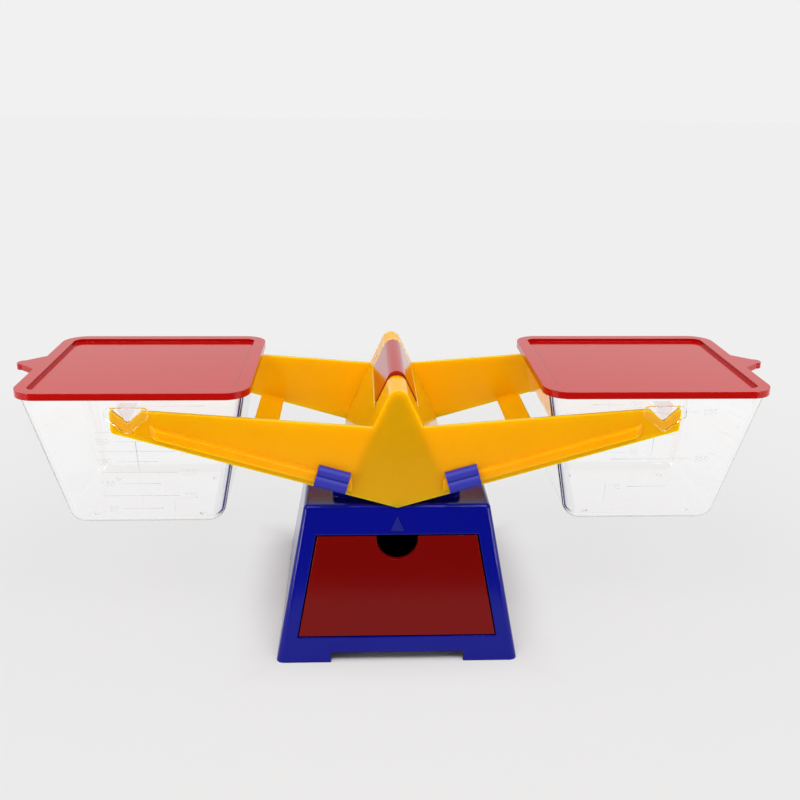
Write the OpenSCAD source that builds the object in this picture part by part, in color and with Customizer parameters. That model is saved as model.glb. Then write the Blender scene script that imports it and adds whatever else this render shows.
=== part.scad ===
// Classroom bucket balance: a yellow beam rocks on a pin above a blue base with a drawer,
// and carries a clear lidded bucket at each end. Millimetres, +Z up, front towards -Y.
// The origin is on the table, under the middle of the base.

/* [Base] */
// Width of the base at the table
base_w = 126; // [120:1:134]
// Depth of the base at the table
base_d = 146; // [140:1:156]
// Height of the flat top of the base
base_h = 82.3; // [79:0.1:87]
// How far each wall leans in between the table and the top
base_lean = 15.3; // [12:0.1:17]
// Thickness of the base walls
base_wall = 2.6; // [2.2:0.1:3]
// Radius of the leaning corner edges
base_edge_r = 4; // [3:0.5:6]
// Height of the cut-outs that leave four corner feet
foot_h = 5.2; // [4:0.2:6.4]
// Width of the cut-outs at the front and the back
foot_span = 69; // [56:1:76]
// Width of the pad that carries the fulcrum post
pad_w = 67; // [60:1:72]
// Depth of that pad
pad_d = 96; // [84:1:100]
// Height of that pad
pad_h = 4.2; // [3.4:0.2:5]

/* [Drawer] */
// Height of the sill under the drawer opening
drawer_sill = 13.3; // [12.6:0.1:15]
// Height of the top of the drawer opening
drawer_top = 67; // [62:0.5:69]
// Wall left between the opening and the corner edge
drawer_margin = 8.7; // [8.2:0.1:11]
// Gap round the drawer front
drawer_gap = 0.8; // [0.5:0.1:1.2]
// Thickness of the drawer front
front_t = 2.6; // [2:0.1:3]
// Thickness of the drawer tray
tray_t = 1.8; // [1.4:0.1:2.2]
// Distance from the top of the opening to the top of the tray
tray_drop = 17; // [14:0.5:22]
// Radius of the finger cut-out
grip_r = 10.7; // [8:0.1:12]

/* [Fulcrum] */
// Height of the pivot axis above the top of the base
pivot_rise = 56.1; // [54:0.1:60]
// Diameter of the steel pivot pin
pin_d = 4; // [3.4:0.1:4.4]
// Outer radius of the rounded ridge of the hub
ridge_r = 5.6; // [5.2:0.1:6.2]
// Lean of the hub sides from upright, in degrees
hub_angle = 25; // [24:0.5:27]
// How far the cap stands proud of the ridge
cap_proud = 2; // [1.4:0.1:2.2]
// Length of the window in the ridge
window_len = 65; // [56:1:68]
// Thickness of the post walls
post_wall = 2.4; // [2:0.1:3]

/* [Beam] */
// Distance from the pivot to the notch at each end
notch_x = 132.8; // [130:0.2:138]
// How far the notches sit below the pivot
notch_drop = 9.5; // [8.5:0.1:11]
// Length of arm beyond the notch
arm_over = 8.6; // [7.6:0.2:10]
// Depth of the arm at its end
arm_end_h = 11.8; // [10.6:0.2:13]
// Rise of the top edge of the arms, in degrees
arm_slope = 4.5; // [3:0.1:5]
// Thickness of the front and back plates
arm_plate = 2.3; // [2:0.1:2.8]
// Gap between the pointer tip and the rounded edge of the base
tip_gap = 0.8; // [0.6:0.1:1.6]
// Width of each flat bar across the arms
bar_w = 13.2; // [10:0.2:16]
// Thickness of those bars
bar_t = 2; // [1.6:0.1:2.6]
// Gap between a bar and the bucket beside it
bar_gap = 5.2; // [4.6:0.1:7]
// Width of the raised rail on the front plate
rail_w = 6; // [5.2:0.1:6.4]
// Height of the raised rail
rail_t = 2; // [1.6:0.1:2.2]

/* [Buckets] */
// Length of a lid, without its tab
lid_w = 116.8; // [112:0.2:118]
// Depth of a lid, front to back
lid_d = 111.2; // [106:0.2:116]
// Radius of the lid corners
lid_corner = 12.6; // [11:0.2:15]
// Height of the lid top above the notch
lid_rise = 12.9; // [12.5:0.1:14]
// Height of the skirt round the lid
lid_lip = 3.6; // [3.2:0.1:4.4]
// Width of the flat rim of the lid
rim_w = 6.4; // [6.2:0.1:7.4]
// Depth of the tray pressed into the lid
tray_depth = 1.8; // [1.4:0.1:2.6]
// Thickness of the lid
lid_t = 1.6; // [1.3:0.1:1.9]
// Length of the finger tab
tab_len = 12.2; // [9:0.1:13]
// Height of a bucket
bucket_h = 77.4; // [73:0.1:80]
// How far each bucket wall leans in from rim to floor
bucket_lean = 16; // [14:0.1:17]
// Thickness of the bucket walls
bucket_wall = 1.8; // [1.5:0.1:2.2]
// Radius of the rounded edges round the bucket floor
bucket_r = 9.4; // [7.4:0.2:10.4]
// Shift of the bucket towards the base that makes it hang level
hang_shift = 0.4; // [0:0.1:0.8]

/* [Compensators] */
// Length of a sliding compensator
slider_len = 16.5; // [13:0.5:18]
// Radius of its lower lobe
slider_r = 3.5; // [3.3:0.1:3.8]

/* [Hidden] */
$fn = 64;

BLUE = [0.07, 0.07, 0.50];
RED = [0.66, 0.02, 0.03];
YELLOW = [0.94, 0.68, 0.02];
CLEAR = [0.86, 0.90, 0.92, 0.35];
STEEL = [0.72, 0.73, 0.75];

// clearances
clear = 0.3;          // between curved faces of two pieces
pin_fit = 0.05;       // round the pin in the beam
seat_fit = 0.03;      // round the pin in the post
past = 1;             // how far a cut runs past the face it opens
swing = 10;           // tilt of the beam to each side

// base
base_top_r = 2.8;
base_ang = atan(base_lean / base_h);
wall_across = base_wall / cos(base_ang);          // level thickness of a leaning wall
pad_z = base_h + pad_h;
pad_corner = 5;
pad_round = 1.2;
foot_side = 85;                                   // width of the cut-outs in the two sides
mark_h = 7.5;                                     // triangular mark under the pointer
mark_hw = 3.35;
mark_drop = 5.6;
mark_proud = 0.5;

function half_w(z) = base_w / 2 - base_lean * z / base_h;
function half_d(z) = base_d / 2 - base_lean * z / base_h;

// screws and the bosses they turn into
screw_r = 1.4;
screw_head_r = 2.9;
screw_head_h = 1.9;
screw_hole_r = screw_r + clear;
pilot_r = screw_r + 0.05;
screw_len = 12;
boss_r = 3.5;
boss_h = screw_len + 2;
boss_sink = 1.8;                                  // distance from boss middle to the wall
boss_in = 23;                                     // from the front and back edges
boss_x = half_w(drawer_sill + boss_h) - wall_across - boss_sink;
boss_y = base_d / 2 - boss_in;
post_screw_y = 22;

// drawer and the plate it runs on
floor_t = 2.4;
floor_gap = 0.4;
guide_t = 2;
guide_h = 4;
guide_in = 18;                                    // from the front and back edges
guide_len = base_d - 2 * guide_in;
tray_gap = 0.5;                                   // from tray to guides
tray_top = drawer_top - tray_drop;
tray_play = 0.9;                                  // from tray to opening
tray_hw = half_w(tray_top) - drawer_margin - tray_play;
tray_z = drawer_sill + clear;
tray_stop = 3;                                    // from tray to back wall
tray_back = half_d(tray_top) - wall_across - tray_stop;
grip_drop = 2.2;
grip_z = drawer_top - grip_drop;                  // centre of the finger cut-out

// hub of the beam round the pivot
pz = base_h + pivot_rise;
ridge_play = 1.4;                                 // from pin to ridge
panel_gap = 6.2;                                  // from pad to leaning sides
cap_drop = 8.9;                                   // from pivot to lower edge of the cap
cap_side = 0.5;                                   // how far its sides stand proud
win_gap = 3;                                      // from cap to lower edge of the window
rib_in = 3.5;                                     // from window to rib
rib_t = 4;
rib_drop = 8.4;
pin_over = 2;                                     // pin beyond the ribs
roof_t = ridge_r - pin_d / 2 - ridge_play;
panel_z = pad_z + panel_gap;
cap_z = pz - cap_drop;
win_z = cap_z - win_gap;
rib_y = window_len / 2 + rib_in;
rib_z = pz - rib_drop;
pin_len = 2 * (rib_y + rib_t + pin_over);

// distance from the middle plane to a leaning face that passes r away from the pivot axis
function lean_x(r, z) = (r + (pz - z) * sin(hub_angle)) / cos(hub_angle);

// post inside the hub, clear of the leaning sides at full tilt
post_gap = 2;
post_play = 0.7;                                  // from post and cap to the window ends
head_wall = 1.6;
head_drop = 11.4;
neck_h = 4;
post_d = window_len - 2 * post_play;
head_hw = pin_d / 2 + head_wall;
head_z = pz - head_drop;
neck_z = head_z - neck_h;
function post_hw(z) = lean_x(ridge_r - roof_t, z) - (pz - z) * sin(swing) - post_gap;
post_screw_x = post_hw(pad_z + screw_len) - boss_r - clear;

// arms
lid_play = 0.9;                                   // from lid to plate
arm_in = lid_d / 2 + lid_play;
arm_out = arm_in + arm_plate;
hz = pz - notch_drop;                             // height of the bucket hinges
knife_r = 0.8;
knife_half = 26;
knife_h = 7.1;
notch_r = knife_r + clear;
notch_half = 48;
end_x = notch_x + arm_over;
end_rise = 5.3;
end_top = hz + end_rise;
end_low = end_top - arm_end_h;
end_round = 0.8;
shoulder_h = 4.7;
shoulder_x = notch_x - notch_r / cos(notch_half) - shoulder_h * tan(notch_half);
shoulder_z = hz + shoulder_h;

// the pointer tip hangs in front of the rounded top edge of the base and is bevelled to clear it
round_y = half_d(base_h - base_top_r) - base_top_r / cos(base_ang);
function round_in(y) = min(base_top_r, max(0, y - round_y));
function top_at(y) = base_h - base_top_r + sqrt(pow(base_top_r, 2) - pow(round_in(y), 2));
tip_back = top_at(arm_in) + tip_gap;
tip_z = top_at((arm_in + arm_out) / 2) + tip_gap / 4;
tip_land = 0.4;                                   // left flat at the front of the tip
edge_ang = atan((end_low - tip_z) / end_x);       // slope of the lower edge

// where a leaning side meets the top edge of an arm
tuck = 0.02;                                      // keeps straight sides just inside their arcs
hub_r = ridge_r - 2 * tuck;
top_zero = shoulder_z - tan(arm_slope) * shoulder_x;
join_x = (hub_r + (pz - top_zero) * sin(hub_angle)) / (cos(hub_angle) + tan(arm_slope) * sin(hub_angle));
join_z = top_zero + tan(arm_slope) * join_x;

// lids and buckets
skirt_t = 1.2;
overhang = 2.5;                                   // lid edge beyond the bucket rim
lid_top = hz + lid_rise;
lid_seat = 0.2;
rim_z = lid_top - lid_t - lid_seat;
rim_hw = lid_w / 2 - overhang;
rim_hd = lid_d / 2 - overhang;
corner_step = 4.6;                                // rim corners inside the lid corners
rim_round = lid_corner - corner_step;
bucket_z = rim_z - bucket_h;
bucket_k = bucket_lean / bucket_h;
bucket_ang = atan(bucket_k);
bucket_x = notch_x - hang_shift;
nib_x = 28.2;
nib_y = 25.5;
nib_r = 1.6;
nib_h = 0.8;
tray_step = 1;                                    // tray corners inside the plug corners
tab_t = 3.2;
tab_root = 12.6;                                  // half widths of the finger tab
tab_tip = 0.6;
tab_r = 3.2;

// shield outside each arm
shield_gap = 0.8;
shield_t = 1.8;
shield_hw = 10.6;
shield_low = 5.7;
shield_side = 1.8;                                // where its straight sides end
shield_point = 1;                                 // half width of its blunt point
shield_r = 2;

// cross-bars, set off from the bucket wall beside them
bar_out = (bucket_x - rim_hw + bucket_k * (rim_z - tip_z) - bar_gap) / (1 + bucket_k * tan(edge_ang));

// rails and compensators
rail_v = 3.1;                                     // above the lower edge
rail_hook = 0.6;                                  // undercut of its lower side
rail_bevel = 1.4;
rail_run = 3;                                     // bevel at its outer end
rail_in = 23;
rail_stop = 10.4;                                 // from rail to notch
rail_end = notch_x - rail_stop;
slider_at = 28.1;                                 // inner end, along the lower edge
lobe_r = 3;
lobe_up = 5.1;
slider_low = 0.6;
slider_out = 1.2;                                 // lobe centres in front of the plate
lobe_out = 1;

// flat shape drawn in X and Z, carried from y0 to y1
module xz(y0, y1) {
    translate([0, y1, 0]) rotate([90, 0, 0]) linear_extrude(y1 - y0) children();
}

// flat shape drawn in Y and Z, carried from x0 to x1
module yz(x0, x1) {
    translate([x0, 0, 0]) rotate([90, 0, 90]) linear_extrude(x1 - x0) children();
}

// flat shape drawn in X and Y, carried from z0 to z1
module xy(z0, z1) {
    translate([0, 0, z0]) linear_extrude(z1 - z0) children();
}

// children at the four corners of a rectangle
module corners(x, y) {
    for (sx = [-1, 1], sy = [-1, 1]) translate([sx * x, sy * y, 0]) children();
}

// children in front, and mirrored to the back
module front_and_back() {
    for (m = [0, 1]) mirror([0, m, 0]) children();
}

// rectangle with rounded corners
module rounded(w, d, r) {
    square([w - 2 * r, d], center = true);
    square([w, d - 2 * r], center = true);
    corners(w / 2 - r, d / 2 - r) circle(r);
}

// leaning box with rounded corner edges and a rounded top edge
module leaning_box(w, d, h, lean, r, top_r) {
    in = lean * (h - top_r) / h + top_r / cos(atan(lean / h));
    hull() {
        corners(w / 2 - r, d / 2 - r) cylinder(r = r, h = tuck, $fn = 32);
        translate([0, 0, h - top_r]) corners(w / 2 - in, d / 2 - in) sphere(r = top_r, $fn = 32);
    }
}

// layer between two leaning planes in step with the front wall, a and b behind its face
module front_layer(a, b) {
    y0 = -base_d / 2;
    y1 = -half_d(base_h);
    yz(-base_w, base_w) polygon([[y0 + a, 0], [y1 + a, base_h], [y1 + b, base_h], [y0 + b, 0]]);
}

// outline of the drawer opening, drawn in by g
module opening_shape(g) {
    low = half_w(drawer_sill) - drawer_margin - g;
    high = half_w(drawer_top) - drawer_margin - g;
    polygon([[-low, drawer_sill + g], [low, drawer_sill + g],
             [high, drawer_top - g], [-high, drawer_top - g]]);
}

// blue base with its pad, drawer opening, corner feet and inner bosses
module base_shell() {
    inner_h = base_h - base_wall;
    color(BLUE) difference() {
        union() {
            difference() {
                leaning_box(base_w, base_d, base_h, base_lean, base_edge_r, base_top_r);
                translate([0, 0, -tuck])
                    leaning_box(base_w - 2 * wall_across, base_d - 2 * wall_across, inner_h,
                                base_lean * inner_h / base_h, base_edge_r / 2, base_top_r / 2);
            }
            xy(inner_h, pad_z - pad_round) rounded(pad_w, pad_d, pad_corner);
            xy(inner_h, pad_z - pad_round / 2)
                rounded(pad_w - 0.3 * pad_round, pad_d - 0.3 * pad_round, pad_corner);
            xy(inner_h, pad_z) rounded(pad_w - pad_round, pad_d - pad_round, pad_corner);
            translate([0, 0, drawer_sill]) corners(boss_x, boss_y)
                cylinder(r = boss_r, h = boss_h);
            intersection() {
                xz(-base_d, 0) translate([0, base_h - mark_drop])
                    polygon([[0, 0], [-mark_hw, -mark_h], [mark_hw, -mark_h]]);
                front_layer(-mark_proud, base_wall / 2);
            }
        }
        xy(inner_h - past, pad_z - base_wall)
            rounded(pad_w - 2 * base_wall, pad_d - 2 * base_wall, pad_corner - base_wall);
        xz(-base_d, -half_d(base_h) + 2 * base_wall) opening_shape(0);
        xy(-past, foot_h) square([foot_span, 2 * base_d], center = true);
        xy(-past, foot_h) square([2 * base_w, foot_side], center = true);
        translate([0, 0, drawer_sill - past]) corners(boss_x, boss_y)
            cylinder(r = pilot_r, h = screw_len + past);
        translate([0, 0, base_h]) corners(post_screw_x, post_screw_y)
            cylinder(r = screw_hole_r, h = pad_h + past);
    }
}

// plate inside the base that the drawer slides on, with a guide each side of the tray
module floor_plate() {
    in = wall_across + floor_gap;
    color(BLUE) difference() {
        union() {
            xy(drawer_sill - floor_t, drawer_sill)
                rounded(2 * (half_w(drawer_sill) - in), 2 * (half_d(drawer_sill) - in), base_edge_r / 2);
            for (s = [-1, 1]) translate([s * (tray_hw + tray_gap + guide_t / 2), 0])
                xy(drawer_sill - floor_t, drawer_sill + guide_h)
                    square([guide_t, guide_len], center = true);
        }
        corners(boss_x, boss_y) cylinder(r = screw_hole_r, h = base_h);
    }
}

// pan-head screw with a cross recess, head down, its seat at zero
module screw() {
    translate([0, 0, -screw_head_h]) difference() {
        union() {
            cylinder(r = screw_head_r, h = screw_head_h);
            cylinder(r = screw_r, h = screw_head_h + screw_len - 1);
        }
        for (a = [0, 90]) rotate(a) xy(-past, screw_head_h / 2)
            square([1.1 * screw_head_r, screw_r / 2], center = true);
    }
}

module floor_screws() {
    color(STEEL) translate([0, 0, drawer_sill - floor_t]) corners(boss_x, boss_y) screw();
}

module post_screws() {
    color(STEEL) translate([0, 0, pad_z - base_wall]) corners(post_screw_x, post_screw_y) screw();
}

// red drawer: leaning front with a finger cut-out, open tray behind it
module drawer() {
    tray_front = -half_d(drawer_sill);
    color(RED) union() {
        intersection() {
            xz(-base_d, 0) difference() {
                opening_shape(drawer_gap);
                translate([0, grip_z]) circle(grip_r);
                translate([-grip_r, grip_z]) square([2 * grip_r, drawer_top]);
            }
            front_layer(0, front_t);
        }
        difference() {
            translate([-tray_hw, tray_front, tray_z])
                cube([2 * tray_hw, tray_back - tray_front, tray_top - tray_z]);
            translate([-tray_hw + tray_t, tray_front - past, tray_z + tray_t])
                cube([2 * (tray_hw - tray_t), tray_back - tray_front - tray_t + past, base_h]);
            front_layer(-base_d / 2, front_t / 2);
        }
    }
}

// blue post that carries the pin, hollow from below
module fulcrum_post() {
    foot_hw = post_hw(panel_z);
    neck_hw = post_hw(neck_z);
    in = 1.05 * post_wall;
    color(BLUE) difference() {
        union() {
            difference() {
                xz(-post_d / 2, post_d / 2) {
                    polygon([[-foot_hw, pad_z], [foot_hw, pad_z], [foot_hw, panel_z], [neck_hw, neck_z],
                             [head_hw, head_z], [-head_hw, head_z], [-neck_hw, neck_z], [-foot_hw, panel_z]]);
                    translate([-head_hw, neck_z]) square([2 * head_hw, pz - neck_z]);
                }
                xz(-post_d / 2 + post_wall, post_d / 2 - post_wall)
                    polygon([[in - foot_hw, pad_z - past], [foot_hw - in, pad_z - past],
                             [foot_hw - in, panel_z], [neck_hw - in, neck_z],
                             [in - neck_hw, neck_z], [in - foot_hw, panel_z]]);
            }
            translate([0, 0, pad_z]) corners(post_screw_x, post_screw_y)
                cylinder(r = boss_r, h = screw_len);
        }
        xz(-post_d, post_d) translate([0, pz]) circle(pin_d / 2 + seat_fit);
        translate([0, 0, pad_z - past]) corners(post_screw_x, post_screw_y)
            cylinder(r = pilot_r, h = screw_len);
    }
}

// leaning sides that pass r away from the pivot axis, between two heights
module roof_sides(r, low, high) {
    polygon([[-lean_x(r - tuck, high), high], [lean_x(r - tuck, high), high],
             [lean_x(r - tuck, low), low], [-lean_x(r - tuck, low), low]]);
}

// roof-shaped block with a rounded ridge, carried from y0 to y1
module roof(r, low, y0, y1) {
    xz(y0, y1) translate([0, pz]) circle(r);
    xz(y0, y1) roof_sides(r, low, pz + (r - tuck) * sin(hub_angle));
}

// red cap in the window of the hub that holds the pin down: its sides stand a little proud of the hub,
// and its tighter ridge more so
module fulcrum_cap() {
    slot_hw = head_hw + clear / 2;
    side_r = ridge_r + cap_side;
    cap_r = (side_r / sin(hub_angle) - ridge_r - cap_proud) / (1 / sin(hub_angle) - 1);
    cap_up = (side_r - cap_r) / sin(hub_angle);
    color(RED) difference() {
        union() {
            xz(-post_d / 2, post_d / 2) translate([0, pz + cap_up]) circle(cap_r);
            xz(-post_d / 2, post_d / 2)
                roof_sides(side_r, cap_z, pz + cap_up + (cap_r - tuck) * sin(hub_angle));
        }
        xz(-post_d, post_d) translate([-slot_hw, cap_z - past])
            square([2 * slot_hw, pz - cap_z + past + seat_fit]);
        xz(-post_d, post_d) translate([0, pz]) circle(pin_d / 2 + seat_fit);
    }
}

module pivot_pin() {
    color(STEEL) xz(-pin_len / 2, pin_len / 2) translate([0, pz]) circle(pin_d / 2);
}

// wedge with a rounded point on the hinge axis: a notch, or the knife that hangs in it
module wedge(r, half, h) {
    low_x = r * cos(half);
    low_z = -r * sin(half);
    high_x = low_x + (h - low_z) * tan(half);
    translate([notch_x, hz]) {
        circle(r);
        polygon([[-low_x, low_z], [low_x, low_z], [high_x, h], [-high_x, h]]);
    }
}

// outline of the front and back plates
module plate_shape() {
    high = pz + hub_r * sin(hub_angle);
    right = [[end_x - end_round, end_low - end_round * tan(edge_ang)], [end_x, end_low + end_round],
             [end_x, end_top - end_round], [end_x - end_round, end_top], [notch_x, end_top],
             [shoulder_x, shoulder_z], [join_x, join_z], [lean_x(hub_r, high), high]];
    left = [for (i = [len(right) - 1:-1:0]) [-right[i].x, right[i].y]];
    difference() {
        polygon(concat([[0, tip_z]], right, left));
        for (m = [0, 1]) mirror([m, 0, 0]) wedge(notch_r, notch_half, 3 * shoulder_h);
    }
}

// wedge cut from under the pointer tip of the front plate, higher towards the back
module tip_bevel() {
    slope = (tip_back - tip_z) / (arm_plate - tip_land);
    reach = (tip_back - tip_z) / tan(edge_ang) + past;
    yz(-reach, reach) polygon([[tip_land - arm_out - past, tip_z - slope * past],
                               [past - arm_in, tip_back + slope * past], [past - arm_in, tip_z - slope * past]]);
}

// places a shape drawn along the lower edge of an arm: X along the edge, Z away from it
module on_arm(s) {
    mirror([s < 0 ? 1 : 0, 0, 0]) translate([0, 0, tip_z]) rotate([0, -edge_ang, 0]) children();
}

// section of a rail: bevelled above, undercut below, grown by g for the slot that takes it
module rail_section(g) {
    high = rail_v + rail_w + g;
    front = -arm_out - rail_t - g;
    polygon([[past - arm_out, rail_v + rail_hook - g], [-arm_out, rail_v + rail_hook - g],
             [front, rail_v - g], [front, high - rail_bevel], [-arm_out - g, high], [past - arm_out, high]]);
}

// rail on the right arm, with a bevelled outer end
module rail() {
    intersection() {
        on_arm(1) yz(0, end_x) rail_section(0);
        xy(0, pz) polygon([[rail_in, past - arm_out], [rail_end, past - arm_out], [rail_end, -arm_out],
                           [rail_end - rail_run, -arm_out - rail_t], [rail_in, -arm_out - rail_t]]);
    }
}

// yellow beam: two plates, a roof-shaped hub, two cross-bars, bearing ribs and front rails
module beam() {
    bar_from = (bar_out - bar_w) / cos(edge_ang);
    color(YELLOW) union() {
        front_and_back() {
            xz(-arm_out, -arm_in) translate([0, pz]) circle(ridge_r);
            difference() {
                xz(-arm_out, -arm_in) plate_shape();
                tip_bevel();
            }
            difference() {
                roof(ridge_r - roof_t / 2, rib_z, -rib_y - rib_t, -rib_y);
                xz(-pin_len, 0) translate([0, pz]) circle(pin_d / 2 + pin_fit);
                xz(-pin_len, 0) translate([-pin_d / 2 - pin_fit, rib_z - past])
                    square([pin_d + 2 * pin_fit, pz - rib_z + past]);
            }
        }
        difference() {
            roof(ridge_r, panel_z, -arm_out + past, arm_out - past);
            roof(ridge_r - roof_t, panel_z - past, -arm_out, arm_out);
            xy(win_z, 2 * pz) square([base_w, window_len], center = true);
        }
        for (s = [-1, 1]) on_arm(s) xy(0, bar_t) translate([bar_from, -arm_out + past])
            square([bar_w / cos(edge_ang), 2 * (arm_out - past)]);
        for (m = [0, 1]) mirror([m, 0, 0]) rail();
    }
}

// blue compensator: two rounded lobes clipped over the rail
module slider(s) {
    color(BLUE) on_arm(s) yz(slider_at, slider_at + slider_len) difference() {
        intersection() {
            union() {
                translate([-arm_out - slider_out, slider_r + slider_low]) circle(slider_r);
                translate([-arm_out - lobe_out, slider_r + slider_low + lobe_up]) circle(lobe_r);
            }
            translate([-arm_out - base_w, 0]) square([base_w - clear, base_w]);
        }
        rail_section(clear);
    }
}

module slider_left() { slider(-1); }
module slider_right() { slider(1); }

// leaning bucket body with rounded edges, drawn in by g
module bucket_body(g) {
    r = bucket_r - g;
    top_r = rim_round - g;
    across = g / cos(bucket_ang);
    low = bucket_z + bucket_r;
    low_in = across + bucket_k * (rim_z - low) + r / cos(bucket_ang);
    top = g > 0 ? rim_z + past : rim_z;
    top_in = across + bucket_k * (rim_z - top) + top_r;
    hull() {
        translate([0, 0, low]) corners(rim_hw - low_in, rim_hd - low_in) sphere(r = r, $fn = 48);
        translate([0, 0, top - tuck]) corners(rim_hw - top_in, rim_hd - top_in)
            cylinder(r = top_r, h = tuck, $fn = 48);
    }
}

// shield that keeps a knife edge in its notch
module shield_shape() {
    side_x = shield_hw - shield_r;
    polygon([[-shield_hw, knife_h - shield_r], [-shield_hw, shield_side], [-shield_point, -shield_low],
             [shield_point, -shield_low], [shield_hw, shield_side], [shield_hw, knife_h - shield_r]]);
    translate([-side_x, 0]) square([2 * side_x, knife_h]);
    for (s = [-1, 1]) translate([s * side_x, knife_h - shield_r]) circle(shield_r);
}

// clear bucket on the right: body, small feet, knife edges and shields
module bucket() {
    shield_y = arm_out + shield_gap;
    knife_in = rim_hd - bucket_k * (rim_z - hz) - bucket_wall;
    difference() {
        union() {
            translate([bucket_x, 0, 0]) {
                bucket_body(0);
                translate([0, 0, bucket_z - nib_h]) corners(nib_x, nib_y)
                    cylinder(r = nib_r, h = nib_h + past);
            }
            front_and_back() {
                xz(-shield_y - shield_t, -knife_in) wedge(knife_r, knife_half, knife_h);
                xz(-shield_y - shield_t, -shield_y) translate([notch_x, hz]) shield_shape();
            }
        }
        translate([bucket_x, 0, 0]) bucket_body(bucket_wall);
    }
}

module bucket_right() { color(CLEAR) bucket(); }
module bucket_left() { color(CLEAR) mirror([1, 0, 0]) bucket(); }

// outline of the finger tab of a lid
module tab_shape() {
    tip_x = lid_w / 2 + tab_len - tab_r;
    root_x = lid_w / 2 - skirt_t / 2;
    polygon([[root_x, -tab_root], [lid_w / 2, -tab_root], [tip_x, -tab_tip - tab_r],
             [tip_x + tab_r, -tab_tip], [tip_x + tab_r, tab_tip], [tip_x, tab_tip + tab_r],
             [lid_w / 2, tab_root], [root_x, tab_root]]);
    for (s = [-1, 1]) translate([tip_x, s * tab_tip]) circle(tab_r);
}

// red lid on the right: flat rim with a skirt, sunken tray and finger tab
module lid() {
    tray_z = lid_top - tray_depth;
    plug_in = bucket_wall / cos(bucket_ang) + bucket_k * (rim_z - tray_z + lid_t) + clear;
    plug_w = 2 * (rim_hw - plug_in);
    plug_d = 2 * (rim_hd - plug_in);
    plug_r = rim_round - bucket_wall - clear / 2;
    tray_r = plug_r - tray_step;
    translate([bucket_x, 0, 0]) difference() {
        union() {
            xy(lid_top - lid_lip, lid_top) rounded(lid_w, lid_d, lid_corner);
            xy(lid_top - tab_t, lid_top) tab_shape();
            xy(tray_z - lid_t, lid_top - lid_t / 2) rounded(plug_w, plug_d, plug_r);
        }
        xy(tray_z, lid_top + past) rounded(lid_w - 2 * rim_w, lid_d - 2 * rim_w, tray_r);
        xy(lid_top - lid_lip - past, lid_top - lid_t) difference() {
            rounded(lid_w - 2 * skirt_t, lid_d - 2 * skirt_t, lid_corner - skirt_t);
            rounded(plug_w, plug_d, plug_r);
        }
    }
}

module lid_right() { color(RED) lid(); }
module lid_left() { color(RED) mirror([1, 0, 0]) lid(); }

base_shell();
floor_plate();
floor_screws();
drawer();
fulcrum_post();
post_screws();
fulcrum_cap();
pivot_pin();
beam();
slider_left();
slider_right();
bucket_left();
bucket_right();
lid_left();
lid_right();
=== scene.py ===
# %% [markdown]
# # A bucket balance in glossy plastic
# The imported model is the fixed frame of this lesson. Its pieces already have the right shape and place, in metres, so
# they are loaded first and never moved. Everything after this gives them finishes, or adds what a solid model lacks.

import bpy
import numpy as np
from mathutils import Matrix, Vector


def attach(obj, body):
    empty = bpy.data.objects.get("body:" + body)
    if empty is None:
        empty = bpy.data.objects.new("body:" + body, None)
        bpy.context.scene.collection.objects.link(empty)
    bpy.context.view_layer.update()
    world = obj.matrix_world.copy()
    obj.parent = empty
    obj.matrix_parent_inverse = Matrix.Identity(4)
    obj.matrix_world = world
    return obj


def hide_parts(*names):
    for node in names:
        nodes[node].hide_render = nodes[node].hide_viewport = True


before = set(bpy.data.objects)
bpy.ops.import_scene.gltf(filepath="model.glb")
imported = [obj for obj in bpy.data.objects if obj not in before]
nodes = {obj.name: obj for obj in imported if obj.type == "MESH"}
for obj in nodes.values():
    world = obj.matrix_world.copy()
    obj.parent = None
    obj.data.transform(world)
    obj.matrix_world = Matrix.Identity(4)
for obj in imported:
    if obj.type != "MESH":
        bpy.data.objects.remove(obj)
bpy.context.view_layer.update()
MM = 0.001

# %% [markdown]
# ## The camera
# The photograph looks down on the balance from the front, a little from the left. A camera could be aimed with a
# constraint, but its place and three angles were worked out from the picture, so its matrix is written out directly.
# The lens shift moves the picture by the eight pixels that its middle is off the optical axis.

# %% Camera
PICTURE = 800                                  # pixels along each side
FOCUS = 1000                                   # focal length in pixels
LEVEL_SHIFT = 8                                # pixels from the picture's middle to the optical axis
SENSOR = 36


def camera_matrix(place, yaw, pitch, roll):
    """Right, up and back directions of a camera that looks along +Y, turned by yaw, tipped down by pitch, rolled."""
    yaw, pitch, roll = np.radians([yaw, pitch, roll])
    ahead = np.array([np.sin(yaw) * np.cos(pitch), np.cos(yaw) * np.cos(pitch), -np.sin(pitch)])
    right = np.array([np.cos(yaw), -np.sin(yaw), 0.0])
    down = np.cross(ahead, right)
    right, down = (np.cos(roll) * right + np.sin(roll) * down, np.cos(roll) * down - np.sin(roll) * right)
    matrix = np.eye(4)
    matrix[:3] = np.column_stack([right, -down, -ahead, place])
    return Matrix(matrix.tolist())


lens = bpy.data.cameras.new("lens")
lens.sensor_width = SENSOR
lens.lens = SENSOR * FOCUS / PICTURE
lens.shift_y = LEVEL_SHIFT / PICTURE
lens.clip_start = 0.01
camera = bpy.data.objects.new("camera", lens)
bpy.context.scene.collection.objects.link(camera)
camera.matrix_world = camera_matrix(np.array([-19.82, -525.2, 293.05]) * MM, yaw=2.52, pitch=18.7, roll=-0.61)
bpy.context.scene.camera = camera
bpy.context.scene.view_settings.view_transform = "Standard"
print("camera at", [round(v, 3) for v in camera.location], "lens", round(lens.lens, 1), "mm")

# %% [markdown]
# ## Writing shader maths as Python
# A finish is a small program of nodes. Placing and linking each node by hand hides what it works out, so one class
# holds an output socket and lets sums be written as sums: `1 - mask` adds a Math node. Every other node comes from
# one method that first sets the node up and then fills its sockets.


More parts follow.
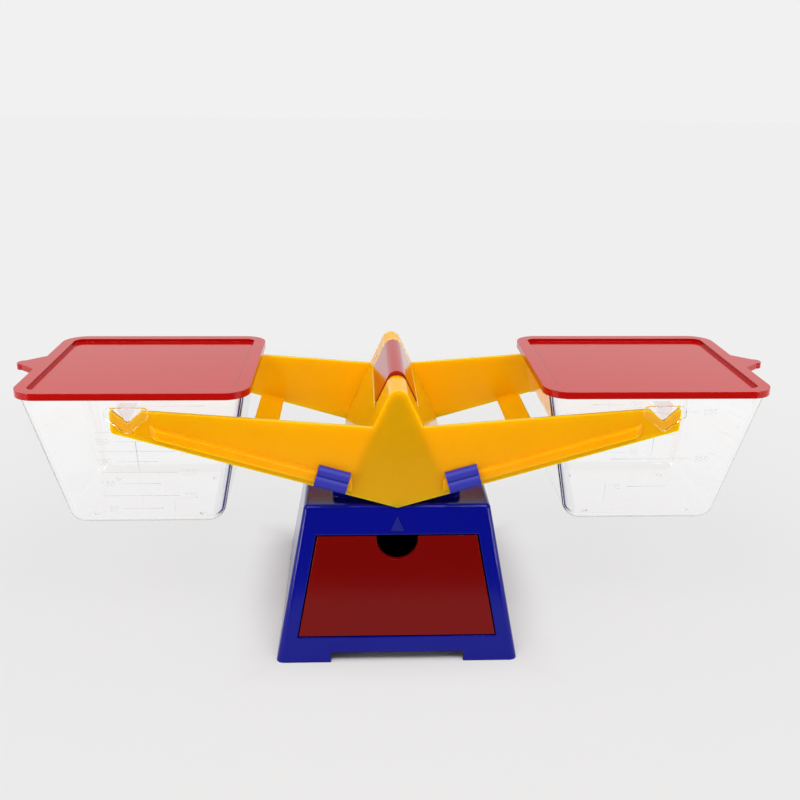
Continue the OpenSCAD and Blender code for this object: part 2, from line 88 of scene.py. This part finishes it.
# %% A socket that can be used in sums
class Wire:
    """An output socket in a node tree. Arithmetic on wires adds Math nodes to the same tree."""

    def __init__(self, tree, socket=None):
        self.tree = tree
        self.socket = socket

    def node(self, kind, settings=None, inputs=None, out=0):
        """Adds a node: its settings first, then a value or a wire for each input. Gives one of its outputs."""
        made = self.tree.nodes.new(kind)
        for name, value in (settings or {}).items():
            setattr(made, name, value)
        for name, value in (inputs or {}).items():
            if isinstance(value, Wire):
                self.tree.links.new(value.socket, made.inputs[name])
            else:
                made.inputs[name].default_value = value
        return Wire(self.tree, made.outputs[out]) if made.outputs else None

    def also(self, name):
        """Another output of the node that this wire comes from."""
        return Wire(self.tree, self.socket.node.outputs[name])

    def split(self):
        """The three parts of a vector."""
        first = self.node("ShaderNodeSeparateXYZ", inputs={0: self})
        return first, first.also("Y"), first.also("Z")

    def math(self, operation, *values):
        return self.node("ShaderNodeMath", {"operation": operation}, dict(enumerate(values)))

    def __add__(self, other):
        return self.math("ADD", self, other)

    def __sub__(self, other):
        return self.math("SUBTRACT", self, other)

    def __rsub__(self, other):
        return self.math("SUBTRACT", other, self)

    def __mul__(self, other):
        return self.math("MULTIPLY", self, other)

    __radd__ = __add__
    __rmul__ = __mul__


def between(wire, low, high):
    """Zero below low, one above high, and a smooth step from one to the other."""
    return wire.node("ShaderNodeMapRange", {"interpolation_type": "SMOOTHSTEP"},
                     {"Value": wire, "From Min": low, "From Max": high}, "Result")


def noise(place, scale, detail):
    """Smooth random values from 0 to 1, finer as scale grows, with so many finer layers added."""
    return place.node("ShaderNodeTexNoise", inputs={"Vector": place, "Scale": scale, "Detail": detail}, out="Fac")


def blank_finish(name):
    """A new material with an empty node tree, and a wire to start its nodes from."""
    material = bpy.data.materials.new(name)
    material.use_nodes = True
    material.node_tree.nodes.clear()
    return material, Wire(material.node_tree)


print("wires add, subtract and multiply")

# %% [markdown]
# ## The studio
# The balance stands on a white sheet that runs up behind it, in soft light from all round. The room above and behind
# the camera is dark, and shows only in the gloss. A lit box could be modelled, but a world colour that depends on the
# kind of ray does the same with less noise: the camera, and what it sees through clear plastic, meets plain white, and
# a glossy face meets white only where it looks towards the backdrop.

# %% World light
WHITE = 0.88                                   # brightness of the backdrop, where 1 is white
FILL = 0.35                                    # soft light from all round
ROOM = 0.02                                    # the dark room
BACKDROP = (0.1, 0.4)                          # part of a mirrored ray that runs back: none seen, all seen

world = bpy.data.worlds.new("studio")
bpy.context.scene.world = world
world.use_nodes = True
world.node_tree.nodes.clear()
sky = Wire(world.node_tree)
ray = sky.node("ShaderNodeLightPath", out="Is Camera Ray")
plain = sky.math("MAXIMUM", ray, ray.also("Is Transmission Ray"))
gloss = ray.also("Is Glossy Ray")
heading = sky.node("ShaderNodeTexCoord", out="Generated").split()[1]
mirrored = ROOM + (WHITE - ROOM) * between(heading, *BACKDROP)
level = plain * WHITE + (1 - plain) * (gloss * mirrored + (1 - gloss) * FILL)
light = sky.node("ShaderNodeBackground", inputs={"Color": (1.0, 1.0, 1.0, 1.0), "Strength": level})
sky.node("ShaderNodeOutputWorld", inputs={"Surface": light})
print("world: backdrop", WHITE, "fill", FILL, "room", ROOM)

# %% [markdown]
# Two wide lamps stand high in front, one to each side, and light the fronts and the tops. Two more stand high at the
# sides, for the sloping sides of the hub. A bright edge on a glossy base is the picture of a small lamp, and an upright
# edge looks out level into the room, so two small lamps stand near the floor. Being small, they add little other light.


# %% Lamps
def soft_lamp(name, place, aim, size, power):
    """A flat lamp, so wide and so tall, that looks from one point towards another."""
    data = bpy.data.lights.new(name, "AREA")
    data.shape = "RECTANGLE"
    data.size, data.size_y = size
    data.energy = power
    lamp = bpy.data.objects.new(name, data)
    lamp.location = place
    lamp.rotation_euler = (Vector(aim) - Vector(place)).to_track_quat("-Z", "Y").to_euler()
    lamp.visible_camera = False
    bpy.context.scene.collection.objects.link(lamp)
    print(name, "lamp of", size, "m at", place)


soft_lamp("left", (-0.55, -0.85, 1.6), (0.0, 0.0, 0.1), (0.8, 0.8), 15.5)
soft_lamp("right", (0.55, -0.85, 1.6), (0.0, 0.0, 0.1), (0.8, 0.8), 15.5)
soft_lamp("left_side", (-1.1, 0.2, 1.0), (0.0, 0.0, 0.12), (0.8, 0.8), 7.5)
soft_lamp("right_side", (1.1, 0.2, 1.0), (0.0, 0.0, 0.12), (0.8, 0.8), 7.5)
soft_lamp("left_strip", (-0.60, -0.42, 0.08), (0.0, 0.0, 0.08), (0.12, 0.16), 1.3)
soft_lamp("right_strip", (0.60, -0.42, 0.08), (0.0, 0.0, 0.08), (0.12, 0.16), 0.9)

# %% [markdown]
# ## The sheet it stands on
# Close to the base the sheet is mostly matt white and catches the shadow. Further off it glows more and more at the
# brightness of the backdrop, so no horizon shows. It looks a little brighter through clear plastic, whose faces would
# otherwise dim it. In front the sheet ends, and a glossy face that looks past its edge sees the dark room.


# %% Floor
def new_piece(name, points, faces, smooth=True):
    """A mesh object at the origin from an array of points in metres and lists of faces."""
    mesh = bpy.data.meshes.new(name)
    mesh.from_pydata(np.asarray(points, float).reshape(-1, 3).tolist(), [], faces)
    mesh.polygons.foreach_set("use_smooth", np.full(len(mesh.polygons), smooth))
    mesh.update()
    piece = bpy.data.objects.new(name, mesh)
    bpy.context.scene.collection.objects.link(piece)
    return piece


def floor_finish():
    """Mostly matt white near the base, glowing further off, and dark past its front edge for a mirrored look."""
    material, start = blank_finish("studio_sheet")
    place = start.node("ShaderNodeTexCoord", out="Object")
    reach = start.node("ShaderNodeVectorMath", {"operation": "LENGTH"}, {0: place}, "Value")
    aside, ahead, _ = place.split()
    clear_of_base = start.math("MAXIMUM", start.math("ABSOLUTE", aside) - BASE_HALF[0],
                               start.math("ABSOLUTE", ahead) - BASE_HALF[1])
    ray = start.node("ShaderNodeLightPath", out="Is Glossy Ray")
    through = ray.also("Is Transmission Ray")
    fibre = noise(place, 900.0, 2.0)
    paper = start.node("ShaderNodeMix", {"data_type": "RGBA"},
                       {0: fibre, 6: PAPER_DARK, 7: PAPER_PALE}, 2)
    matt = start.node("ShaderNodeBsdfDiffuse", inputs={"Color": paper})
    far = between(reach, *SHEET_RISE)
    # Painted light: the glow is brighter far off, and brighter as seen through clear plastic, whose faces would dim it.
    glow_level = start.node("ShaderNodeMix", {"data_type": "RGBA"}, {
        0: FAR_SHARE * far + (1 - FAR_SHARE) * through, 6: SHEET_LOW, 7: SHEET_HIGH}, 2)
    glow = start.node("ShaderNodeEmission", inputs={"Color": glow_level})
    dark = start.node("ShaderNodeEmission", inputs={"Color": (ROOM, ROOM, ROOM, 1.0)})
    # Near the base the glow gives way to the matt sheet, which shows the real shadow; the cut-back glow also paints a
    # little shade there.
    contact = SHADOW_EDGE + (1 - SHADOW_EDGE) * between(clear_of_base, *SHADOW)
    lit = between(clear_of_base, *UNDER) * contact * (NEAR_LIT + (1 - NEAR_LIT) * far)
    sheet = start.node("ShaderNodeMixShader", inputs={0: lit, 1: matt, 2: glow})
    beyond = ray * (1 - through) * between(0 - ahead, SHEET_END - SHEET_BLUR, SHEET_END + SHEET_BLUR)
    both = start.node("ShaderNodeMixShader", inputs={0: beyond, 1: sheet, 2: dark})
    start.node("ShaderNodeOutputMaterial", inputs={"Surface": both})
    return material


REACH = 6.0                                    # half the sheet's width, in metres like all lengths here
SHEET_END, SHEET_BLUR = 0.335, 0.01            # where a mirrored ray sees the sheet end in front
SHEET_RISE = (0.2, 0.6)                        # from the middle: the glow starts to rise, and is full
UNDER = (-0.004, 0.002)                        # from the base's edge: the sheet is unlit inside this
SHADOW = (-0.005, 0.03)                        # from the base's edge: the shadow fades over this
SHADOW_EDGE, NEAR_LIT = 0.4, 0.86              # share of glow at the base's edge, and clear of the shadow
SHEET_LOW, SHEET_HIGH = (0.8265, 0.82175, 0.82175, 1.0), (0.957, 0.9515, 0.9515, 1.0)  # its dimmest and brightest
FAR_SHARE = 1 / 3                              # distance brightens the glow by this share, clear plastic by the rest
PAPER_DARK, PAPER_PALE = (0.55, 0.539, 0.538, 1.0), (0.58, 0.569, 0.568, 1.0)
BASE_HALF = [0.5 * v for v in nodes["base_shell"].dimensions[:2]]
ticks = np.linspace(-REACH, REACH, 9)
across, along = np.meshgrid(ticks, ticks, indexing="ij")
grid = np.stack([across, along, np.zeros_like(across)], axis=-1)
corner = np.arange(grid.shape[0] * grid.shape[1]).reshape(grid.shape[:2])
tiles = np.stack([corner[:-1, :-1], corner[1:, :-1], corner[1:, 1:], corner[:-1, 1:]], axis=-1).reshape(-1, 4)
floor = new_piece("studio_floor", grid, tiles.tolist(), smooth=False)
floor.data.materials.append(floor_finish())
print("floor", 2 * REACH, "m wide")

# %% [markdown]
# ## Glossy moulded plastic
# All the coloured parts are injection moulded: the colour runs right through, the face is as smooth as the polished
# steel it cooled against, and every edge is a little round. A flat colour would look like paper, so the colour drifts
# by a few per cent where the melt flowed, the gloss varies a little over a fine grain, and faint waves bend the
# reflections. Thick walls shrink as they cool, so the wide faces of the base are also slightly dished. A Bevel node
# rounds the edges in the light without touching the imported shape. The yellow plastic lets light in and spreads it.


# %% Moulded plastic
GLOW_DEPTH = 14                                # how far light spreads inside the yellow plastic, in mm
GLOW_REACH = (1.0, 0.80, 0.04)                 # the share of that way for red, green and blue
# The colour added to the pointer mark is a painted sheen; the roughness added to it is real.
PATCH_PALE, PATCH_ROUGH = 0.004, 0.3           # what the pointer mark adds to colour and roughness
FLOW_SCALE, RIPPLE_SCALE, GRAIN_SCALE = 24.0, 160.0, 2600.0
DRIFT = 0.06                                   # how far the colour drifts to each side
ROUGH_GRAIN, ROUGH_FLOW = 0.08, 0.05           # what grain and flow add to the roughness
WAVES, WAVE_GRAIN = 0.02, 0.05                 # strength of the waves, and the grain's share of them


def moulded(name, colour, gloss, edge, shine=0.5, sink=0, glow=0.0, patch=None):
    """Moulded plastic of one colour. gloss is its lowest roughness, edge the radius of its edges in millimetres,
    shine the strength of its reflections, sink how much its wide faces are dished, glow the share of light that
    spreads inside it, and patch a function that marks a paler, rougher place."""
    material, start = blank_finish(name)
    place = start.node("ShaderNodeTexCoord", out="Object")
    flow = noise(place, FLOW_SCALE, 3.0)
    ripple = noise(place, RIPPLE_SCALE, 1.0)
    grain = noise(place, GRAIN_SCALE, 2.0)
    dark = tuple((1 - DRIFT) * c for c in colour) + (1.0,)
    pale = tuple(min(1.0, (1 + DRIFT) * c) for c in colour) + (1.0,)
    shade = start.node("ShaderNodeMix", {"data_type": "RGBA"}, {0: flow, 6: dark, 7: pale}, 2)
    rough = gloss + ROUGH_GRAIN * grain + ROUGH_FLOW * flow
    if patch:
        mask = patch(place)
        # The mark's rough texture is real, and its paler colour paints the light that the texture catches.
        mark_colour_and_sheen = tuple(c + PATCH_PALE for c in colour) + (1.0,)
        shade = start.node("ShaderNodeMix", {"data_type": "RGBA"}, {0: mask, 6: shade, 7: mark_colour_and_sheen}, 2)
        rough = rough + PATCH_ROUGH * mask
    soft = start.node("ShaderNodeBevel", {"samples": 6}, {"Radius": edge * MM})
    height = ripple + WAVE_GRAIN * grain
    if sink:
        ahead = place.split()[1]
        height = height + sink * ahead * ahead
    wavy = start.node("ShaderNodeBump", inputs={
        "Strength": WAVES, "Distance": MM, "Height": height, "Normal": soft})
    shader = start.node("ShaderNodeBsdfPrincipled", inputs={
        "Base Color": shade, "Roughness": rough, "IOR": 1.5, "Specular IOR Level": shine, "Normal": wavy,
        "Subsurface Weight": glow, "Subsurface Radius": GLOW_REACH, "Subsurface Scale": GLOW_DEPTH * MM})
    start.node("ShaderNodeOutputMaterial", inputs={"Surface": shader})
    return material


def paint(material, *names):
    """Gives the named nodes of the frame one material."""
    for name in names:
        nodes[name].data.materials.clear()
        nodes[name].data.materials.append(material)
    print(material.name, "on", ", ".join(names))


MARK_TOP, MARK_H, MARK_HALF = 76.7, 7.5, 3.35  # the triangle under the pointer, in mm
MARK_BLUR, MARK_FRONT = 0.1, 50                # the softness of its sides, and how far in front it lies


def pointer_mark(place):
    """One inside the triangle on the front of the base, and zero elsewhere."""
    x, y, z = place.split()
    room = (MARK_TOP * MM - z) * (MARK_HALF / MARK_H) - x.math("ABSOLUTE", x)
    above = between(z, (MARK_TOP - MARK_H - 2 * MARK_BLUR) * MM, (MARK_TOP - MARK_H) * MM)
    inside = between(room, -MARK_BLUR * MM, MARK_BLUR * MM)
    return inside * above * between(0 - y, MARK_FRONT * MM, (MARK_FRONT + 1) * MM)


paint(moulded("lid_red", (0.385, 0.002, 0.001), 0.05, 0.3, shine=0.41), "lid_left", "lid_right")
paint(moulded("cap_red", (0.33, 0.003, 0.002), 0.03, 0.4, shine=0.35), "fulcrum_cap")
paint(moulded("drawer_red", (0.135, 0.0015, 0.001), 0.06, 0.5, shine=0.15), "drawer")
paint(moulded("beam_yellow", (1.0, 0.315, 0.002), 0.10, 0.5, shine=0.12, glow=1.0), "beam")
paint(moulded("base_blue", (0.0015, 0.003, 0.18), 0.06, 1.0, shine=0.22, sink=9000, patch=pointer_mark),
      "base_shell", "floor_plate", "fulcrum_post")
paint(moulded("slider_blue", (0.010, 0.012, 0.30), 0.5, 0.4), "slider_left", "slider_right")

# %% [markdown]
# ## Steel
# The pivot pin and the screws are turned steel. They hide inside, and show only from below or with the drawer out.
# Turning leaves fine rings round the axis. On pieces this small they blur together, so a fine noise stands in for them.


# %% Turned steel
def steel_finish():
    """Bright metal whose roughness and colour change over a fine grain."""
    material, start = blank_finish("turned_steel")
    place = start.node("ShaderNodeTexCoord", out="Object")
    grain = noise(place, 1800.0, 3.0)
    shade = start.node("ShaderNodeMix", {"data_type": "RGBA"},
                       {0: grain, 6: (0.50, 0.51, 0.53, 1.0), 7: (0.66, 0.67, 0.68, 1.0)}, 2)
    soft = start.node("ShaderNodeBevel", {"samples": 4}, {"Radius": 0.2 * MM})
    shader = start.node("ShaderNodeBsdfPrincipled", inputs={
        "Base Color": shade, "Roughness": 0.2 + 0.2 * grain, "Metallic": 1.0, "Normal": soft})
    start.node("ShaderNodeOutputMaterial", inputs={"Surface": shader})
    return material


paint(steel_finish(), "pivot_pin", "floor_screws", "post_screws")

# %% [markdown]
# ## Clear buckets
# A bucket is one clear moulding: four leaning walls, rounded edges and a flat floor. Clear plastic shows every facet,
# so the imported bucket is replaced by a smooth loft. One rounded rectangle is carried along the section of the wall:
# out over the floor, round the lower edge, up the outside, over the rim and down the inside again.

# %% Bucket shell
BUCKET_X, RIM_Z, RIM_X, RIM_Y = 132.4, 140.0, 55.9, 53.1      # middle, rim height and half sizes, in mm
FLOOR_Z, LEAN, WALL, EDGE_R, RIM_R = 62.6, 16 / 77.4, 1.8, 9.4, 8.0
TILT = np.arctan(LEAN)


def rounded_loops(half_x, half_y, radius, steps=12, ease=0.4):
    """Rounded rectangles, one per row: each corner is a quarter circle about a centre one radius in from both sides.
    An extra point just past each end of an arc keeps the straight sides flat in smooth shading."""
    turn = np.concatenate([[0.0], np.linspace(0, 90, steps + 1), [90.0]])
    slide = np.concatenate([[-ease], np.zeros(steps + 1), [ease]])
    quarter = np.arange(4)[:, None]
    angle = np.radians(turn + 90 * quarter).ravel()
    slide = np.tile(slide, 4)
    side_x = np.repeat(np.sign(np.cos(np.radians(45 + 90 * np.arange(4)))), turn.size)
    side_y = np.repeat(np.sign(np.sin(np.radians(45 + 90 * np.arange(4)))), turn.size)
    half_x, half_y, radius = (np.asarray(v, float)[:, None] for v in (half_x, half_y, radius))
    x = side_x * (half_x - radius) + radius * np.cos(angle) - slide * np.sin(angle)
    y = side_y * (half_y - radius) + radius * np.sin(angle) + slide * np.cos(angle)
    return x, y


def loft_faces(rows, columns):
    """Quads between neighbouring closed rows, and a face that closes the first and the last row."""
    number = np.arange(rows * columns).reshape(rows, columns)
    after = np.roll(number, -1, axis=1)
    quads = np.stack([number[:-1], after[:-1], after[1:], number[1:]], axis=-1).reshape(-1, 4)
    return quads.tolist() + [number[0, ::-1].tolist(), number[-1].tolist()]


def bucket_section():
    """Inset from the rim, height and corner radius along the wall's section. The lower edge is a circle that touches
    the floor and the leaning wall, and the inside is the same line one wall thickness further in."""
    arc = np.linspace(np.radians(88), TILT, 12)
    edge_z = FLOOR_Z + EDGE_R

    def lower_edge(across, radius):
        middle = across + LEAN * (RIM_Z - edge_z) + radius / np.cos(TILT)
        return np.stack([middle - radius * np.cos(arc), edge_z - radius * np.sin(arc), radius * np.cos(arc)], axis=1)

    across = WALL / np.cos(TILT)
    lip = 0.35
    outside = lower_edge(0.0, EDGE_R)
    inside = lower_edge(across, EDGE_R - WALL)[::-1]
    floor_out = outside[:1] + [[1.5, 0.0, 0.0]]
    floor_in = inside[-1:] + [[1.5, 0.0, 0.0]]
    rim = np.array([[LEAN * 2 * lip, RIM_Z - 2 * lip, RIM_R], [LEAN * lip, RIM_Z - lip, RIM_R],
                    [0.3 * lip, RIM_Z - 0.3 * lip, RIM_R], [lip, RIM_Z, RIM_R - lip],
                    [across - lip, RIM_Z, RIM_R - WALL + lip], [across - 0.3 * lip, RIM_Z - 0.3 * lip, RIM_R - WALL],
                    [across + LEAN * lip, RIM_Z - lip, RIM_R - WALL],
                    [across + LEAN * 2 * lip, RIM_Z - 2 * lip, RIM_R - WALL]])
    ease_out = outside[-1:] + [[-LEAN * 0.4, 0.4, 0.0]]
    ease_in = inside[:1] + [[-LEAN * 0.4, 0.4, 0.0]]
    return np.concatenate([floor_out, outside, ease_out, rim, ease_in, inside, floor_in])


def bucket_shell(name, middle):
    inset, height, radius = bucket_section().T
    x, y = rounded_loops(RIM_X - inset, RIM_Y - inset, radius)
    z = np.broadcast_to(height[:, None], x.shape)
    points = np.stack([x + middle, y, z], axis=-1) * MM
    return new_piece(name, points, loft_faces(*x.shape))


shells = {side: bucket_shell(f"bucket_{side}_shell", s * BUCKET_X) for side, s in (("left", -1), ("right", 1))}
print("bucket shells:", {s: len(p.data.polygons) for s, p in shells.items()}, "faces")

# %% [markdown]
# The plastic bends light like a thin glass, with a faint haze where the mould was less polished. A path tracer can
# hardly find a lamp through two bent faces, so rays that only carry light from lamps and pale walls go straight
# through, a little dimmed. Without that, everything behind a bucket would be too dark.


# %% Clear plastic
RIPPLES, CLOUD = 0.01, 0.02                    # strength of the faint ripples, and what the cloud adds to the haze
STRAIGHT = (0.97, 0.97, 0.97, 1.0)             # how much light passes straight through


def clear_finish(name, colour, haze, index=1.45):
    """See-through plastic. haze is its lowest roughness, and index how strongly it bends light."""
    material, start = blank_finish(name)
    place = start.node("ShaderNodeTexCoord", out="Object")
    cloud = noise(place, 30.0, 2.0)
    ripple = noise(place, 90.0, 1.0)
    bend = start.node("ShaderNodeBump", inputs={"Strength": RIPPLES, "Distance": MM, "Height": ripple})
    shader = start.node("ShaderNodeBsdfPrincipled", inputs={
        "Base Color": colour + (1.0,), "Roughness": haze + CLOUD * cloud, "IOR": index, "Transmission Weight": 1.0,
        "Normal": bend})
    ray = start.node("ShaderNodeLightPath", out="Is Shadow Ray")
    straight = start.node("ShaderNodeBsdfTransparent", inputs={"Color": STRAIGHT})
    both = start.node("ShaderNodeMixShader", inputs={
        0: start.math("MAXIMUM", ray, ray.also("Is Diffuse Ray")), 1: shader, 2: straight})
    start.node("ShaderNodeOutputMaterial", inputs={"Surface": both})
    return material


def hang(piece, side, material):
    """Gives a piece its material and hangs it on one bucket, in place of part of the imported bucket."""
    piece.data.materials.append(material)
    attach(piece, f"bucket_{side}")
    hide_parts(f"bucket_{side}")
    print(piece.name, len(piece.data.polygons), "faces")


clear = clear_finish("bucket_clear", (1.0, 1.0, 1.0), 0.0)
for side, shell in shells.items():
    hang(shell, side, clear)

# %% [markdown]
# ## Hangers
# Each bucket hangs by two knife edges. A knife stands out from the wall, rests in the notch of the arm, and ends in a
# shield that keeps it from sliding off. Both are plates with softened edges: an outline carried through the thickness,
# drawn in a little at both faces. On the real bucket they are one piece with the wall, so light passes from one into
# the other without bending. Here a hair of air lies between them, and a lower index of refraction makes up for it.

# %% Knife edges and shields
HINGE_X, HINGE_Z, SHIELD_Y, SHIELD_T = 132.8, 128.9, 59.6, 1.8
SHIELD_HALF, SHIELD_TOP, SHIELD_SIDE, SHIELD_TIP, SHIELD_R = 10.6, 7.1, 1.8, 5.7, 2.0
KNIFE_R, KNIFE_H, KNIFE_HALF = 0.8, 7.1, 26    # point radius and height in mm, half angle in degrees
SEAM = 0.03                                    # air left between touching clear pieces
FOOT_X, FOOT_Y, FOOT_R, FOOT_H, FOOT_EDGE = 28.2, 25.5, 1.6, 0.8, 0.3


def arc_points(x, z, radius, start, end, count):
    """Points on a circle about x, z from one angle to another, in degrees."""
    angle = np.radians(np.linspace(start, end, count))
    return np.stack([x + radius * np.cos(angle), z + radius * np.sin(angle)], axis=1)


def knife_outline():
    """A wedge with a rounded point: two straight sides that touch a small circle on the hinge axis."""
    tip = arc_points(0, 0, KNIFE_R, 180 + KNIFE_HALF, 360 - KNIFE_HALF, 9)
    half = np.radians(KNIFE_HALF)
    top = KNIFE_R * np.cos(half) + (KNIFE_H + KNIFE_R * np.sin(half)) * np.tan(half)
    return np.concatenate([tip, [[top, KNIFE_H], [-top, KNIFE_H]]])


def shield_outline():
    """A shield: rounded upper corners, straight sides and a blunt point below."""
    x, z = SHIELD_HALF - SHIELD_R, SHIELD_TOP - SHIELD_R
    return np.concatenate([[[-1.0, -SHIELD_TIP], [1.0, -SHIELD_TIP], [SHIELD_HALF, SHIELD_SIDE]],
                           arc_points(x, z, SHIELD_R, 0, 90, 7), arc_points(-x, z, SHIELD_R, 90, 180, 7),
                           [[-SHIELD_HALF, SHIELD_SIDE]]])


def draw_in(outline, depth):
    """Moves each point of a closed outline inwards along the mean of its two sides' normals."""
    ahead = np.roll(outline, -1, axis=0) - outline
    behind = outline - np.roll(outline, 1, axis=0)
    both = [np.stack([-d[:, 1], d[:, 0]], axis=1) / np.linalg.norm(d, axis=1)[:, None] for d in (ahead, behind)]
    mean = both[0] + both[1]
    return outline + depth * mean / (0.5 * np.sum(mean * mean, axis=1))[:, None]


def plate_points(outline, faces_y, edge):
    """Rows of points through a plate: the outline drawn in at the first face, whole, whole, drawn in at the last."""
    near, far = faces_y
    small = draw_in(outline, edge)
    step = edge if far > near else -edge
    rows = [(small, near), (outline, near + step), (outline, far - step), (small, far)]
    return np.stack([np.column_stack([shape[:, 0], np.full(len(shape), y), shape[:, 1]]) for shape, y in rows])


def joined(name, shells, smooth):
    """One mesh from several closed lofts, given in millimetres."""
    sizes = [rows.shape[0] * rows.shape[1] for rows in shells]
    starts = np.cumsum([0] + sizes[:-1])
    faces = [[int(first) + v for v in face]
             for rows, first in zip(shells, starts) for face in loft_faces(*rows.shape[:2])]
    return new_piece(name, np.concatenate([rows.reshape(-1, 3) for rows in shells]) * MM, faces, smooth)


def hangers(middle):
    """The knives and the shields: one of each in front, and the same turned half round at the back."""
    wall = RIM_Y - LEAN * (RIM_Z - HINGE_Z - KNIFE_H)
    knife = plate_points(knife_outline(), (SHIELD_Y - SEAM, wall + SEAM), 0.15)
    knife[-2:, :, 1] -= LEAN * (KNIFE_H - knife[-2:, :, 2])
    shield = plate_points(shield_outline(), (SHIELD_Y + SHIELD_T, SHIELD_Y), 0.25)
    place = np.array([middle, 0.0, HINGE_Z])
    return [[rows * [turn, turn, 1.0] + place for turn in (1, -1)] for rows in (knife, shield)]


def feet(middle):
    """Four low round feet under the floor, each a stack of circles."""
    angle = np.radians(np.arange(0, 360, 15))
    radius = np.array([FOOT_R - FOOT_EDGE, FOOT_R, FOOT_R])[:, None]
    height = FLOOR_Z - np.array([FOOT_H, FOOT_H - FOOT_EDGE, SEAM])[:, None]
    disc = np.stack(np.broadcast_arrays(radius * np.cos(angle), radius * np.sin(angle), height), axis=-1)
    return [disc + [middle + x * FOOT_X, y * FOOT_Y, 0.0] for x in (-1, 1) for y in (-1, 1)]


thin = clear_finish("shield_clear", (1.0, 1.0, 1.0), 0.0, index=1.28)
grey = clear_finish("knife_clear", (0.93, 0.87, 0.88), 0.05, index=1.04)
for side, s in (("left", -1), ("right", 1)):
    knives, guards = hangers(s * HINGE_X)
    hang(joined(f"bucket_{side}_knives", knives, False), side, grey)
    hang(joined(f"bucket_{side}_shields", guards, False), side, thin)
    hang(joined(f"bucket_{side}_feet", feet(s * BUCKET_X), True), side, clear)

# %% [markdown]
# ## Volume marks
# The walls carry raised lines and plain numbers, moulded with the bucket: one wall in steps of 50 millilitres, the
# other in quarters of 500. A line belongs where the inside holds that much, so the area of the inside is added up from
# the floor and the heights are looked up in the running sum. Each stroke is a low rounded ridge along a path.


# %% Volume marks
def level_heights(volumes):
    """Heights at which the inside holds the given volumes in millilitres."""
    z = np.linspace(FLOOR_Z + WALL, RIM_Z, 600)
    inset = WALL / np.cos(TILT) + LEAN * (RIM_Z - z)
    half_x, half_y = RIM_X - inset, RIM_Y - inset
    area = 4 * half_x * half_y - (4 - np.pi) * (RIM_R - WALL) ** 2
    held = np.concatenate([[0.0], np.cumsum((area[1:] + area[:-1]) / 2 * np.diff(z))])
    return np.interp(np.asarray(volumes) * 1000.0, held, z)


def oval(x, z, half_x, half_z, start, end):
    """Points on an oval from one angle to another, in degrees."""
    angle = np.radians(np.linspace(start, end, 15))
    return np.stack([x + half_x * np.cos(angle), z + half_z * np.sin(angle)], axis=1)


DIGITS = {                                     # one stroke each, in a box one high
    "0": oval(0.3, 0.5, 0.3, 0.5, 90, 450),
    "1": np.array([[0.1, 0.8], [0.3, 1.0], [0.3, 0.0]]),
    "2": np.concatenate([oval(0.3, 0.7, 0.3, 0.3, 160, -35), [[0.0, 0.0], [0.6, 0.0]]]),
    "3": np.concatenate([oval(0.28, 0.75, 0.28, 0.25, 150, -80), oval(0.28, 0.26, 0.31, 0.26, 80, -150)]),
    "4": np.array([[0.45, 0.0], [0.45, 1.0], [0.0, 0.3], [0.62, 0.3]]),
    "5": np.concatenate([[[0.55, 1.0], [0.08, 1.0], [0.04, 0.55]], oval(0.28, 0.32, 0.3, 0.32, 115, -150)]),
    "7": np.array([[0.0, 1.0], [0.6, 1.0], [0.2, 0.0]])}
DIGIT_H, DIGIT_STEP = 3.0, 2.5
STROKE_W, STROKE_H, MIDDLE_H = 0.4, 0.12, 0.04                # all strokes, and the height of the middle line
LINE_GAP, MIDDLE_LOW, MIDDLE_HIGH = 2.5, 1.2, 5.5             # line to number, and the middle line's ends


def ridge(path, high):
    """A low ridge along a path on the wall: at each point half an oval stands across the path, so high. Gives place
    along the wall, height and distance out of the wall."""
    path = np.asarray(path, float)
    ahead = np.gradient(path, axis=0)
    ahead /= np.linalg.norm(ahead, axis=1)[:, None]
    across = np.stack([-ahead[:, 1], ahead[:, 0]], axis=1)
    turn = np.radians(np.linspace(0, 180, 7))
    flat = path[:, None] + 0.5 * STROKE_W * np.cos(turn)[:, None] * across[:, None]
    out = np.broadcast_to(high * np.sin(turn)[:, None], flat.shape[:2] + (1,))
    return np.concatenate([flat, out], axis=2)


def scale_paths(step, top, long_every, long_half, short_half):
    """Level lines with their numbers, long ones to the right and short ones to the left, and the line up the middle."""
    volumes = np.arange(step, top + 1, step)
    heights = level_heights(volumes)
    paths = [np.array([[0.0, heights[0] + MIDDLE_LOW], [0.0, heights[-1] - MIDDLE_HIGH]])]
    for volume, z in zip(volumes, heights):
        is_long = volume % long_every == 0
        half = long_half if is_long else short_half
        paths.append(np.array([[-half, z], [half, z]]))
        text = str(volume)
        left = half + LINE_GAP if is_long else -half - LINE_GAP - DIGIT_STEP * len(text)
        paths += [DIGITS[d] * DIGIT_H + [left + DIGIT_STEP * i, z - DIGIT_H / 2] for i, d in enumerate(text)]
    return paths


def on_wall(rows, middle, turn):
    """Lays ridges on the front wall of a bucket, or turned half round on its back wall."""
    u, z, out = np.moveaxis(rows, -1, 0)
    out = out + SEAM
    y = LEAN * (RIM_Z - z) - RIM_Y - out * np.cos(TILT)
    return np.stack([middle + turn * u, turn * y, z - out * np.sin(TILT)], axis=-1)


fine = scale_paths(50, 400, 100, 19.5, 10.3)
quarters = scale_paths(125, 500, 250, 21.0, 10.3)
frost = clear_finish("scale_frost", (0.98, 0.98, 0.98), 0.15, index=1.12)
for side, s in (("left", -1), ("right", 1)):
    walls = (fine, 1), (quarters, -1)
    marks = [on_wall(ridge(path, STROKE_H if i else MIDDLE_H), s * BUCKET_X, -s * turn)
             for paths, turn in walls for i, path in enumerate(paths)]
    hang(joined(f"bucket_{side}_scale", marks, True), side, frost)
